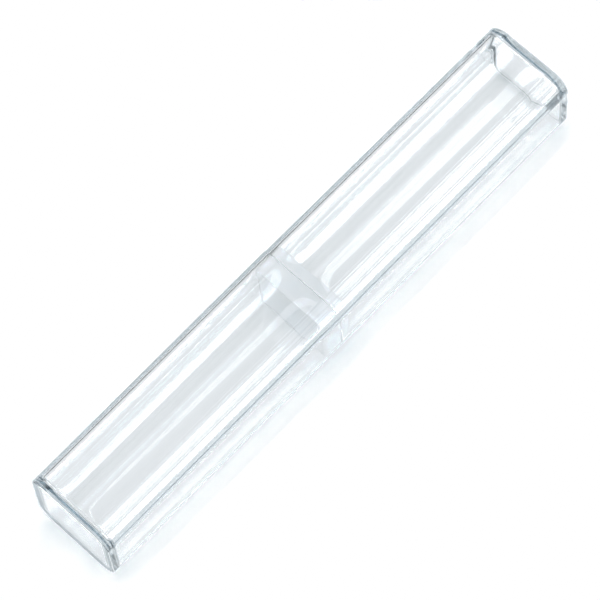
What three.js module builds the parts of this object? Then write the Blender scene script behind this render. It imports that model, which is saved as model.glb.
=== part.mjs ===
// Clear push-fit case: a long rounded-square tube in two halves, each closed at
// its outer end, joined near mid-length by a short inner sleeve.
// Millimetres, +Z up. The origin is at the middle of the underside; the long
// axis runs along X, the pull-off half is on the -X side and the half that
// carries the sleeve is on the +X side.
import * as THREE from 'three';

// ---- driving dimensions (mm) ----
const LENGTH = 155.0;            // end to end, closed
const SEAM_X = -1.0;             // plane where the two mouths meet
const SEAM_GAP = 0.3;            // clearance between the two mouth faces
const CAP_END_W = 24.7;          // cap half, width at the closed end
const CAP_MOUTH_W = 24.9;        // cap half, width at the mouth (draft)
const BASE_END_W = 24.5;         // base half, width at the closed end
const BASE_MOUTH_W = 24.7;       // base half, width at the mouth
const HEIGHT_LESS = 1.0;         // section is this much lower than it is wide
const CORNER_R = 5.2;            // outer corner radius of the section
const BORE_R = 2.4;              // inner corner radius of the section
const WALL = 1.7;                // side wall thickness
const END_WALL = 1.6;            // closed end thickness
const END_EDGE_R = 0.6;          // rounding where an end face meets the sides
const INNER_END_R = 1.0;         // inside rounding where the bore meets the end
const MOUTH_CHAMFER = 0.15;      // break on the mouth edges
const SLEEVE_IN_BASE = 3.0;      // sleeve length held in the base half
const SLEEVE_IN_CAP = 4.8;       // sleeve length standing out into the cap half
const SLEEVE_WALL = 1.0;         // sleeve wall thickness
const SLEEVE_GAP = 0.3;          // clearance from the sleeve to the walls
const SLEEVE_LEAD = 0.35;        // lead-in chamfer on the sleeve's free end
const ARC_STEPS = 8;             // facets in each section corner

// ---- section outline ----
// Points of a rounded rectangle in the YZ plane, width w, from z0 to z1, corner
// radius r, anticlockwise seen from +X (from +Y towards +Z). The arcs always
// give the same number of points, so that outlines can be joined one to one.
function outline(x, w, z0, z1, r) {
  const shape = new THREE.Shape();
  const hw = w / 2;
  shape.absarc(hw - r, z1 - r, r, 0, Math.PI / 2, false);
  shape.absarc(-hw + r, z1 - r, r, Math.PI / 2, Math.PI, false);
  shape.absarc(-hw + r, z0 + r, r, Math.PI, 1.5 * Math.PI, false);
  shape.absarc(hw - r, z0 + r, r, 1.5 * Math.PI, 2 * Math.PI, false);
  const pts = [];
  for (const arc of shape.curves) {
    if (!(arc instanceof THREE.EllipseCurve)) continue;
    for (const p of arc.getPoints(ARC_STEPS)) pts.push(new THREE.Vector3(x, p.x, p.y));
  }
  return pts;
}

// ---- lofted solids ----
// Joins successive rings of equal point count. 'ends' closes the first and the
// last ring with a fan each; otherwise the last ring joins back to the first.
function loft(rings, ends, flip) {
  const n = rings[0].length;
  const pos = [];
  const idx = [];
  for (const ring of rings) for (const p of ring) pos.push(p.x, p.y, p.z);
  const tri = (a, b, c) => (flip ? idx.push(a, c, b) : idx.push(a, b, c));
  const last = ends ? rings.length - 1 : rings.length;
  for (let k = 0; k < last; k++) {
    const a0 = k * n;
    const b0 = ((k + 1) % rings.length) * n;
    for (let i = 0; i < n; i++) {
      const j = (i + 1) % n;
      tri(a0 + i, a0 + j, b0 + i);
      tri(a0 + j, b0 + j, b0 + i);
    }
  }
  if (ends) {
    for (const [ring, base, back] of [
      [rings[0], 0, true],
      [rings[rings.length - 1], (rings.length - 1) * n, false],
    ]) {
      const c = new THREE.Vector3();
      for (const p of ring) c.add(p);
      c.multiplyScalar(1 / n);
      const ci = pos.length / 3;
      pos.push(c.x, c.y, c.z);
      for (let i = 0; i < n; i++) {
        const j = (i + 1) % n;
        if (back) tri(ci, base + j, base + i);
        else tri(ci, base + i, base + j);
      }
    }
  }
  const g = new THREE.BufferGeometry();
  g.setAttribute('position', new THREE.Float32BufferAttribute(pos, 3));
  g.setIndex(idx);
  g.computeVertexNormals();
  return g;
}

// ---- one half of the case ----
// side = +1 for the half that runs to +X, -1 for the one that runs to -X.
// The underside stays flat at z = 0; the draft is taken at the sides and top.
function half(side, mouthX, endW, mouthW) {
  const endX = (side * LENGTH) / 2;
  const width = (x) => mouthW + ((endW - mouthW) * (x - mouthX)) / (endX - mouthX);
  // outline at station x, moved in from the outer skin by t
  const at = (x, t, r) => {
    const w = width(x);
    return outline(x, w - 2 * t, t, w - HEIGHT_LESS - t, r);
  };
  const rings = [];
  // outside, from the closed end to the mouth
  for (const deg of [90, 60, 30, 0]) {
    const a = (deg * Math.PI) / 180;
    const inset = END_EDGE_R * (1 - Math.cos(a));
    rings.push(at(endX - side * END_EDGE_R * (1 - Math.sin(a)), inset, CORNER_R - inset));
  }
  rings.push(at(mouthX + side * MOUTH_CHAMFER, 0, CORNER_R));
  rings.push(at(mouthX, MOUTH_CHAMFER, CORNER_R - MOUTH_CHAMFER));
  // inside, from the mouth to the closed end
  rings.push(at(mouthX, WALL - MOUTH_CHAMFER, BORE_R + MOUTH_CHAMFER));
  rings.push(at(mouthX + side * MOUTH_CHAMFER, WALL, BORE_R));
  const bottomX = endX - side * END_WALL;
  for (const deg of [0, 30, 60, 90]) {
    const a = (deg * Math.PI) / 180;
    const inset = INNER_END_R * (1 - Math.cos(a));
    rings.push(at(bottomX - side * INNER_END_R * (1 - Math.sin(a)), WALL + inset, BORE_R - inset));
  }
  return loft(rings, true, side > 0);
}

// ---- joining sleeve ----
// A closed band whose outside follows the bores of both halves with clearance.
function sleeve() {
  const x0 = SEAM_X - SLEEVE_IN_CAP;
  const x1 = SEAM_X + SLEEVE_IN_BASE;
  const t0 = WALL + SLEEVE_GAP;
  const t1 = t0 + SLEEVE_WALL;
  const w = BASE_MOUTH_W - 0.02;
  const at = (x, t) => outline(x, w - 2 * t, t, w - HEIGHT_LESS - t, BORE_R + WALL - t);
  return loft(
    [
      at(x0, t0 + SLEEVE_LEAD),
      at(x0 + SLEEVE_LEAD * 2, t0),
      at(x1 - 0.1, t0),
      at(x1, t0 + 0.1),
      at(x1, t1 - 0.1),
      at(x1 - 0.1, t1),
      at(x0 + 0.1, t1),
      at(x0, t1 - 0.1),
    ],
    false,
    false,
  );
}

// ---- materials ----
const clear = () =>
  new THREE.MeshStandardMaterial({
    color: 0xe4edf4,
    roughness: 0.05,
    metalness: 0.0,
    transparent: true,
    opacity: 0.3,
  });

const part = (name, geometry) => {
  const m = new THREE.Mesh(geometry, clear());
  m.name = name;
  return m;
};

const model = new THREE.Group();

const capHalf = new THREE.Group();
capHalf.add(part('cap_shell', half(-1, SEAM_X - SEAM_GAP / 2, CAP_END_W, CAP_MOUTH_W)));
model.add(capHalf);

const baseHalf = new THREE.Group();
baseHalf.add(part('base_shell', half(1, SEAM_X + SEAM_GAP / 2, BASE_END_W, BASE_MOUTH_W)));
baseHalf.add(part('neck_sleeve', sleeve()));
model.add(baseHalf);

export default model;
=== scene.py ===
import bpy
import math
from mathutils import Matrix, Vector


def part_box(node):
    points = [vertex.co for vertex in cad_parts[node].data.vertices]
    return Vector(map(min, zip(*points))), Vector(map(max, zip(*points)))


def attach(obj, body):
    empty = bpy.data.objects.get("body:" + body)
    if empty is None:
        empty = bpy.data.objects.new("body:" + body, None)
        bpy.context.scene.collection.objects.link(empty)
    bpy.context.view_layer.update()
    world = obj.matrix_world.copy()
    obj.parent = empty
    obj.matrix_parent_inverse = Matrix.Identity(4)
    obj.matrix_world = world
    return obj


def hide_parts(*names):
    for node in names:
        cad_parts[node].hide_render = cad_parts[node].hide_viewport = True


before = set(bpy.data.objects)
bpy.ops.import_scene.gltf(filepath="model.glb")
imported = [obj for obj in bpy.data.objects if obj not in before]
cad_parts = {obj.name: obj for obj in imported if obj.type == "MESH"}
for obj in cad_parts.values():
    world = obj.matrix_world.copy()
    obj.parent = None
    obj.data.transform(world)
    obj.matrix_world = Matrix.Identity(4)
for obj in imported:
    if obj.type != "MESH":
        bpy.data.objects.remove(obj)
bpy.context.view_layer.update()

MM = 0.001

# ------------------------------------------------------------------ camera
# A long lens from above the cap end, looking down along the case.
AZ, EL, ROLL = math.radians(-130.73), math.radians(68.23), math.radians(-6.217)
FOCAL_PX, DIST = 3792.9, 0.8862
OFF_X, OFF_Y = 6.23, -3.13          # where the case's middle lies from the frame's centre, in 600-pixel units
AIM = Vector((0, 0, 0.011))

back = Vector((math.cos(AZ) * math.cos(EL), math.sin(AZ) * math.cos(EL), math.sin(EL)))
right = Vector((0, 0, 1)).cross(back).normalized()
up = back.cross(right)
r2 = math.cos(ROLL) * right + math.sin(ROLL) * up
u2 = -math.sin(ROLL) * right + math.cos(ROLL) * up
eye = AIM + back * DIST
axis = (-back - r2 * (OFF_X / FOCAL_PX) + u2 * (OFF_Y / FOCAL_PX)).normalized()
b3 = -axis
r3 = u2.cross(b3).normalized()
u3 = b3.cross(r3)
cam = bpy.data.objects.new("camera", bpy.data.cameras.new("camera"))
cam.data.sensor_width = 36.0
cam.data.lens = FOCAL_PX / 600 * 36.0
cam.data.clip_start, cam.data.clip_end = 0.05, 30
cam.matrix_world = Matrix((
    (r3.x, u3.x, b3.x, eye.x),
    (r3.y, u3.y, b3.y, eye.y),
    (r3.z, u3.z, b3.z, eye.z),
    (0, 0, 0, 1),
))
bpy.context.scene.collection.objects.link(cam)
bpy.context.scene.camera = cam

# ------------------------------------------------------------------ sizes (mm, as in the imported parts)
cap_lo, cap_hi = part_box("cap_shell")
base_lo, base_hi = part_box("base_shell")
slv_lo, slv_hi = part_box("neck_sleeve")
CAP_END, CAP_MOUTH = cap_lo.x / MM, cap_hi.x / MM
BASE_MOUTH, BASE_END = base_lo.x / MM, base_hi.x / MM
CAP_MOUTH_W, BASE_MOUTH_W = (cap_hi.y - cap_lo.y) / MM, (base_hi.y - base_lo.y) / MM
CAP_END_W, BASE_END_W = CAP_MOUTH_W - 0.2, BASE_MOUTH_W - 0.2
HEIGHT_LESS = CAP_MOUTH_W - (cap_hi.z - cap_lo.z) / MM
CORNER_R, BORE_R, WALL, END_WALL = 5.2, 2.4, 1.7, 1.6
ARC = 20
FLAT = 19                            # points along each flat of the section
TOP_SINK, SIDE_SINK = 0.12, 0.03     # how far the skin sinks at the middle of the top and side walls


def outline(x, w, z0, z1, r, sinks=(0.0, 0.0, 0.0, 0.0)):
    """One ring of the rounded-square section at x, anticlockwise seen from +X, with its 2-D normals.
    sinks: how far the flats on top, at -Y, below and at +Y curve in at their middles."""
    hw = w / 2
    pts, nrm = [], []
    corners = ((hw - r, z1 - r, 0), (-hw + r, z1 - r, 90), (-hw + r, z0 + r, 180), (hw - r, z0 + r, 270))
    for k, (cy, cz, a0) in enumerate(corners):
        for i in range(ARC + 1):
            a = math.radians(a0 + 90 * i / ARC)
            pts.append((x, cy + r * math.cos(a), cz + r * math.sin(a)))
            nrm.append((math.cos(a), math.sin(a)))
        ny, nz, na = corners[(k + 1) % 4]
        a = math.radians(na)
        q = (ny + r * math.cos(a), nz + r * math.sin(a))
        p = pts[-1]
        ox, oz = math.cos(a), math.sin(a)
        half = math.hypot(q[0] - p[1], q[1] - p[2]) / 2
        m = FLAT + 1
        for i in range(1, m):
            t = i / m
            e = 2 * t - 1
            # the flat dips in one even curve from corner to corner
            dip = sinks[k] * (1 - e * e)
            slope = sinks[k] * 2 * e / half
            pts.append((x, p[1] + (q[0] - p[1]) * t - ox * dip, p[2] + (q[1] - p[2]) * t - oz * dip))
            ty, tz = (q[0] - p[1]) / (2 * half), (q[1] - p[2]) / (2 * half)
            d = Vector((ox - ty * slope, oz - tz * slope)).normalized()
            nrm.append((d.x, d.y))
    return pts, nrm


def loft(name, stations, close):
    """stations: (x, w, z0, z1, r, nx, ns, sinks) with nx the share of the normal that points along +X and ns the
    sign of the skin. close: 'fans' for a shell that starts and ends on its axis, 'ring' for a band."""
    verts, normals, faces = [], [], []
    n = None
    for x, w, z0, z1, r, nx, ns, sinks in stations:
        pts, nr = outline(x, w, z0, z1, r, sinks)
        n = len(pts)
        for p, q in zip(pts, nr):
            verts.append([c * MM for c in p])
            s = ns * math.sqrt(max(0.0, 1 - nx * nx))
            normals.append((nx, q[0] * s, q[1] * s))
    count = len(stations)
    for k in range(count - 1 if close == "fans" else count):
        a0, b0 = k * n, ((k + 1) % count) * n
        for i in range(n):
            j = (i + 1) % n
            faces.append((a0 + i, a0 + j, b0 + j, b0 + i))
    if close == "fans":
        for base, nx in ((0, stations[0][5]), ((count - 1) * n, stations[-1][5])):
            faces.append(tuple(range(base, base + n)))
    me = bpy.data.meshes.new(name)
    me.from_pydata(verts, [], faces)
    me.update()
    ob = bpy.data.objects.new(name, me)
    bpy.context.scene.collection.objects.link(ob)
    import bmesh
    bm = bmesh.new()
    bm.from_mesh(me)
    bmesh.ops.recalc_face_normals(bm, faces=bm.faces)
    if bm.calc_volume(signed=True) < 0:
        bmesh.ops.reverse_faces(bm, faces=bm.faces)
    bm.to_mesh(me)
    bm.free()
    for poly in me.polygons:
        poly.use_smooth = True
    me.normals_split_custom_set_from_vertices(normals)
    return ob


def shell(name, side, mouth, end, mouth_w, end_w):
    def width(x):
        return mouth_w + (end_w - mouth_w) * (x - mouth) / (end - mouth)

    def sink(x):
        """Skins sink between the stiff mouth and the stiff closed end."""
        t = (x - mouth) / (end - mouth)
        f = min(1.0, t / 0.06, (1 - t) / 0.06)
        f = f * f * (3 - 2 * f)
        return (TOP_SINK * f, SIDE_SINK * f, 0.0, SIDE_SINK * f)

    def st(x, t, r, nx, ns, sinks=(0.0, 0.0, 0.0, 0.0)):
        w = width(x)
        return (x, w - 2 * t, t, w - HEIGHT_LESS - t, r, nx, ns, sinks)

    ER, IR, CH = 0.6, 1.0, 0.012
    N = 24
    s = []
    for i in range(9):
        a = math.radians(90 - 90 * i / 8)
        t = ER * (1 - math.cos(a))
        s.append(st(end - side * ER * (1 - math.sin(a)), t, CORNER_R - t, side * math.sin(a), 1))
    for i in range(1, N):
        x = (end - side * ER) + (mouth - end + side * ER) * i / N
        s.append(st(x, 0, CORNER_R, 0, 1, sink(x)))
    for i in range(5):
        a = math.radians(90 * i / 4)
        t = CH * (1 - math.cos(a))
        s.append(st(mouth + side * CH * (1 - math.sin(a)), t, CORNER_R - t, -side * math.sin(a), 1))
    for i in range(5):
        a = math.radians(90 - 90 * i / 4)
        t = WALL - CH * (1 - math.cos(a))
        s.append(st(mouth + side * CH * (1 - math.sin(a)), t, BORE_R + WALL - t, -side * math.sin(a), -1))
    bottom = end - side * END_WALL
    for i in range(1, 6):
        s.append(st(mouth + (bottom - mouth) * i / 6, WALL, BORE_R, 0, -1))
    for i in range(9):
        a = math.radians(90 * i / 8)
        t = WALL + IR * (1 - math.cos(a))
        s.append(st(bottom - side * IR * (1 - math.sin(a)), t, BORE_R + WALL - t, -side * math.sin(a), -1))
    return loft(name, s, "fans")


# closed, the two mouths touch: each skin runs on to within a hair of the seam plane
SEAM = (CAP_MOUTH + BASE_MOUTH) / 2
CAP_MOUTH, BASE_MOUTH = SEAM - 0.005, SEAM + 0.005
cap = shell("cap_clear", -1, CAP_MOUTH, CAP_END, CAP_MOUTH_W, CAP_END_W)
base = shell("base_clear", 1, BASE_MOUTH, BASE_END, BASE_MOUTH_W, BASE_END_W)


def band(name):
    """The sleeve: clear and free in the cap half, close against the bore and bonded in the base half."""
    x0, x1 = slv_lo.x / MM, slv_hi.x / MM
    w = BASE_MOUTH_W - 0.02
    t0 = (w - (slv_hi.y - slv_lo.y) / MM) / 2
    t1 = t0 + 1.0
    tb = WALL + 0.03
    nil = (0.0, 0.0, 0.0, 0.0)

    def st(x, t, nx, ns):
        return (x, w - 2 * t, t, w - HEIGHT_LESS - t, BORE_R + WALL - t, nx, ns, nil)

    s = [st(x0 + 0.05, t0 + 0.35, -0.7, 1), st(x0 + 0.7, t0 + 0.02, -0.3, 1), st(x0 + 0.9, t0, 0, 1)]
    s += [st(BASE_MOUTH + 0.1, t0, 0, 1), st(BASE_MOUTH + 0.55, (t0 + tb) / 2, -0.28, 1), st(BASE_MOUTH + 1.0, tb, 0, 1)]
    s.append(st(x1 - 0.2, tb, 0, 1))
    for i in range(5):
        a = math.radians(90 * i / 4)
        s.append(st(x1 - 0.1 * (1 - math.sin(a)), tb + 0.1 * (1 - math.cos(a)), math.sin(a), 1))
    for i in range(5):
        a = math.radians(90 - 90 * i / 4)
        s.append(st(x1 - 0.15 * (1 - math.sin(a)), t1 - 0.15 * (1 - math.cos(a)), math.sin(a), -1))
    s.append(st(x1 - 0.2, t1, 0, -1))
    s.append(st(BASE_MOUTH, t1, 0, -1))
    s.append(st(x0 + 0.2, t1, 0, -1))
    for i in range(5):
        a = math.radians(90 * i / 4)
        s.append(st(x0 + 0.15 * (1 - math.sin(a)), t1 - 0.15 * (1 - math.cos(a)), -math.sin(a), -1))
    return loft(name, s, "ring")


sleeve = band("neck_clear")

# ------------------------------------------------------------------ materials


def clear_plastic(name, tint, density, wave):
    m = bpy.data.materials.new(name)
    m.use_nodes = True
    nt = m.node_tree
    p = nt.nodes["Principled BSDF"]
    p.inputs["Base Color"].default_value = (1, 1, 1, 1)
    p.inputs["IOR"].default_value = 1.59
    p.inputs["Transmission Weight"].default_value = 1.0
    tc = nt.nodes.new("ShaderNodeTexCoord")
    # long soft ripples left by the mould's polishing and the flow of the plastic
    mp = nt.nodes.new("ShaderNodeMapping")
    mp.inputs["Scale"].default_value = (18, 70, 70)
    nt.links.new(tc.outputs["Object"], mp.inputs["Vector"])
    ripple = nt.nodes.new("ShaderNodeTexNoise")
    ripple.inputs["Scale"].default_value = 1.0
    ripple.inputs["Detail"].default_value = 2.0
    nt.links.new(mp.outputs["Vector"], ripple.inputs["Vector"])
    bump = nt.nodes.new("ShaderNodeBump")
    bump.inputs["Strength"].default_value = 1.0
    bump.inputs["Distance"].default_value = wave
    nt.links.new(ripple.outputs["Fac"], bump.inputs["Height"])
    nt.links.new(bump.outputs["Normal"], p.inputs["Normal"])
    # faint handling haze
    haze = nt.nodes.new("ShaderNodeTexNoise")
    haze.inputs["Scale"].default_value = 160
    haze.inputs["Detail"].default_value = 4
    nt.links.new(tc.outputs["Object"], haze.inputs["Vector"])
    rr = nt.nodes.new("ShaderNodeMapRange")
    rr.inputs["From Min"].default_value = 0.45
    rr.inputs["From Max"].default_value = 0.8
    rr.inputs["To Min"].default_value = 0.004
    rr.inputs["To Max"].default_value = 0.05
    nt.links.new(haze.outputs["Fac"], rr.inputs["Value"])
    nt.links.new(rr.outputs["Result"], p.inputs["Roughness"])
    vol = nt.nodes.new("ShaderNodeVolumeAbsorption")
    vol.inputs["Color"].default_value = tint
    vol.inputs["Density"].default_value = density
    nt.links.new(vol.outputs["Volume"], nt.nodes["Material Output"].inputs["Volume"])
    return m


shell_mat = clear_plastic("clear_shell", (0.28, 0.42, 0.50, 1), 9.5, 0.000002)
sleeve_mat = clear_plastic("clear_sleeve", (0.28, 0.42, 0.50, 1), 9.5, 0.000002)


def milky_plastic(name):
    """The bonded sleeve is given a soft white haze with a faint, random tone."""
    m = bpy.data.materials.new(name)
    m.use_nodes = True
    nt = m.node_tree
    p = nt.nodes["Principled BSDF"]
    p.inputs["IOR"].default_value = 1.59
    p.inputs["Transmission Weight"].default_value = 0.6
    tc = nt.nodes.new("ShaderNodeTexCoord")
    milk_noise = nt.nodes.new("ShaderNodeTexNoise")
    milk_noise.inputs["Scale"].default_value = 190
    milk_noise.inputs["Detail"].default_value = 2
    milk_noise.inputs["Roughness"].default_value = 0.45
    nt.links.new(tc.outputs["Object"], milk_noise.inputs["Vector"])
    ramp = nt.nodes.new("ShaderNodeValToRGB")
    ramp.color_ramp.elements[0].position = 0.35
    ramp.color_ramp.elements[0].color = (0.96, 0.975, 0.99, 1)
    ramp.color_ramp.elements[1].position = 0.7
    ramp.color_ramp.elements[1].color = (1.0, 1.0, 1.0, 1)
    nt.links.new(milk_noise.outputs["Fac"], ramp.inputs["Fac"])
    nt.links.new(ramp.outputs["Color"], p.inputs["Base Color"])
    rr = nt.nodes.new("ShaderNodeMapRange")
    rr.inputs["From Min"].default_value = 0.35
    rr.inputs["From Max"].default_value = 0.7
    rr.inputs["To Min"].default_value = 0.3
    rr.inputs["To Max"].default_value = 0.42
    nt.links.new(milk_noise.outputs["Fac"], rr.inputs["Value"])
    nt.links.new(rr.outputs["Result"], p.inputs["Roughness"])
    return m


bond_mat = milky_plastic("bonded_sleeve")

for ob, body, node, mat, slot in (
    (cap, "cap_half", "cap_shell", shell_mat, "clear_shell"),
    (base, "base_half", "base_shell", shell_mat, "clear_shell"),
    (sleeve, "base_half", "neck_sleeve", sleeve_mat, "clear_sleeve"),
):
    ob.data.materials.append(mat)
    if ob is sleeve:
        ob.data.materials.append(bond_mat)
        for poly in ob.data.polygons:
            poly.material_index = 1
    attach(ob, body)
    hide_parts(node)

# ------------------------------------------------------------------ floor and light
me = bpy.data.meshes.new("floor")
# the sheet of white paper that the case lies on; it ends a hand's width behind the case
me.from_pydata([(-0.7, -0.7, 0), (0.7, -0.7, 0), (0.7, 0.06, 0), (-0.7, 0.06, 0)], [], [(0, 1, 2, 3)])
floor = bpy.data.objects.new("floor", me)
floor.location.z = -0.00002
bpy.context.scene.collection.objects.link(floor)
fm = bpy.data.materials.new("floor")
fm.use_nodes = True
fp = fm.node_tree.nodes["Principled BSDF"]
fp.inputs["Base Color"].default_value = (0.95, 0.95, 0.95, 1)
fp.inputs["Roughness"].default_value = 0.9
fp.inputs["Specular IOR Level"].default_value = 0.0
me.materials.append(fm)

# A bright tent of soft boxes set round the long axis of the case. The value depends on the angle from the
# +Y horizon (0), over the top (90), to the -Y horizon (180).
TENT = (
    (0, 0.0), (1, 0.64), (4, 0.54), (8, 0.0), (20, 0.0), (26, 0.38), (31, 1.18), (39, 1.5), (46, 1.5),
    (53, 1.88), (61, 1.29), (67, 1.24), (73, 0.11), (76, 0.48), (84, 0.88), (89, 0.84), (92, 0.59), (97, 1.24),
    (102, 1.18), (110, 0.27), (114, 0.11), (118, 1.18), (123, 2.1), (127, 1.67), (131, 0.38), (135, 0.16),
    (145, 0.7), (151, 1.83), (157, 2.31), (163, 1.45), (171, 2.15), (180, 3.12),
)
PEAK = 6.0
world = bpy.data.worlds.new("studio")
bpy.context.scene.world = world
world.use_nodes = True
wn = world.node_tree
bg = wn.nodes["Background"]


def wmath(op, a, b=None, c=None, clamp=False):
    n = wn.nodes.new("ShaderNodeMath")
    n.operation = op
    n.use_clamp = clamp
    for k, v in enumerate((a, b, c)):
        if v is None:
            continue
        if isinstance(v, (int, float)):
            n.inputs[k].default_value = v
        else:
            wn.links.new(v, n.inputs[k])
    return n.outputs[0]


tc = wn.nodes.new("ShaderNodeTexCoord")
sep = wn.nodes.new("ShaderNodeSeparateXYZ")
wn.links.new(tc.outputs["Generated"], sep.inputs["Vector"])
DX, DY, DZ = sep.outputs
turn = wmath("MULTIPLY", wmath("ARCTAN2", wmath("MAXIMUM", DZ, 0.0001), DY), 1 / math.pi)
ramp = wn.nodes.new("ShaderNodeValToRGB")
wn.links.new(turn, ramp.inputs["Fac"])
els = ramp.color_ramp.elements
for k, (deg, val) in enumerate(TENT):
    e = els[k] if k < 2 and k == 0 else (els.new(deg / 180) if k < len(TENT) - 1 else els[len(els) - 1])
    e.position = deg / 180
    g = val / PEAK
    e.color = (g * 0.994, g * 0.998, g, 1)
# one long tube between the soft boxes, seen in the top wall as a bright band that widens away from the cap end
lean = wmath("MINIMUM", wmath("MAXIMUM", wmath("SUBTRACT", DX, 0.163), 0.0), 0.2)
half = wmath("MULTIPLY_ADD", lean, 4.2, 0.15)
mid = wmath("MULTIPLY_ADD", lean, -1.6, 71.5)
off = wmath("ABSOLUTE", wmath("SUBTRACT", wmath("MULTIPLY", turn, 180.0), mid))
mr = wn.nodes.new("ShaderNodeMapRange")
mr.interpolation_type = "SMOOTHSTEP"
wn.links.new(wmath("SUBTRACT", half, off), mr.inputs["Value"])
mr.inputs["From Min"].default_value = -0.08
mr.inputs["From Max"].default_value = 0.08
mr.inputs["To Max"].default_value = 2.2 / PEAK
tube = wn.nodes.new("ShaderNodeVectorMath")
tube.operation = "ADD"
wn.links.new(ramp.outputs["Color"], tube.inputs[0])
wn.links.new(mr.outputs["Result"], tube.inputs[1])
wn.links.new(tube.outputs[0], bg.inputs["Color"])
bg.inputs["Strength"].default_value = PEAK
# behind everything the camera sees plain white
white = wn.nodes.new("ShaderNodeBackground")
white.inputs["Color"].default_value = (1, 1, 1, 1)
white.inputs["Strength"].default_value = 2.0
lp = wn.nodes.new("ShaderNodeLightPath")
mix = wn.nodes.new("ShaderNodeMixShader")
wn.links.new(lp.outputs["Is Camera Ray"], mix.inputs["Fac"])
wn.links.new(bg.outputs[0], mix.inputs[1])
wn.links.new(white.outputs[0], mix.inputs[2])
wn.links.new(mix.outputs[0], wn.nodes["World Output"].inputs["Surface"])

sc = bpy.context.scene
sc.view_settings.view_transform = "Standard"
# a cool grade: greys lean a little to teal, and the lit paper is pure white
sc.view_settings.use_curve_mapping = True
cm = sc.view_settings.curve_mapping
for channel, points in (
    (0, ((0.5, 0.475), (0.7, 0.662), (0.86, 0.822), (0.915, 1.0))),
    (1, ((0.5, 0.495), (0.7, 0.693), (0.86, 0.848), (0.915, 1.0))),
    (2, ((0.5, 0.503), (0.7, 0.706), (0.86, 0.872), (0.915, 1.0))),
):
    for x, y in points:
        cm.curves[channel].points.new(x, y).handle_type = "VECTOR"
cm.update()
# light that runs a long way inside the clear walls has to come out again, and the paper under the case
# has to receive what passes through it
sc.cycles.max_bounces = 96
sc.cycles.transmission_bounces = 96
sc.cycles.glossy_bounces = 96
sc.cycles.diffuse_bounces = 8
sc.cycles.transparent_max_bounces = 32
sc.cycles.blur_glossy = 0.0
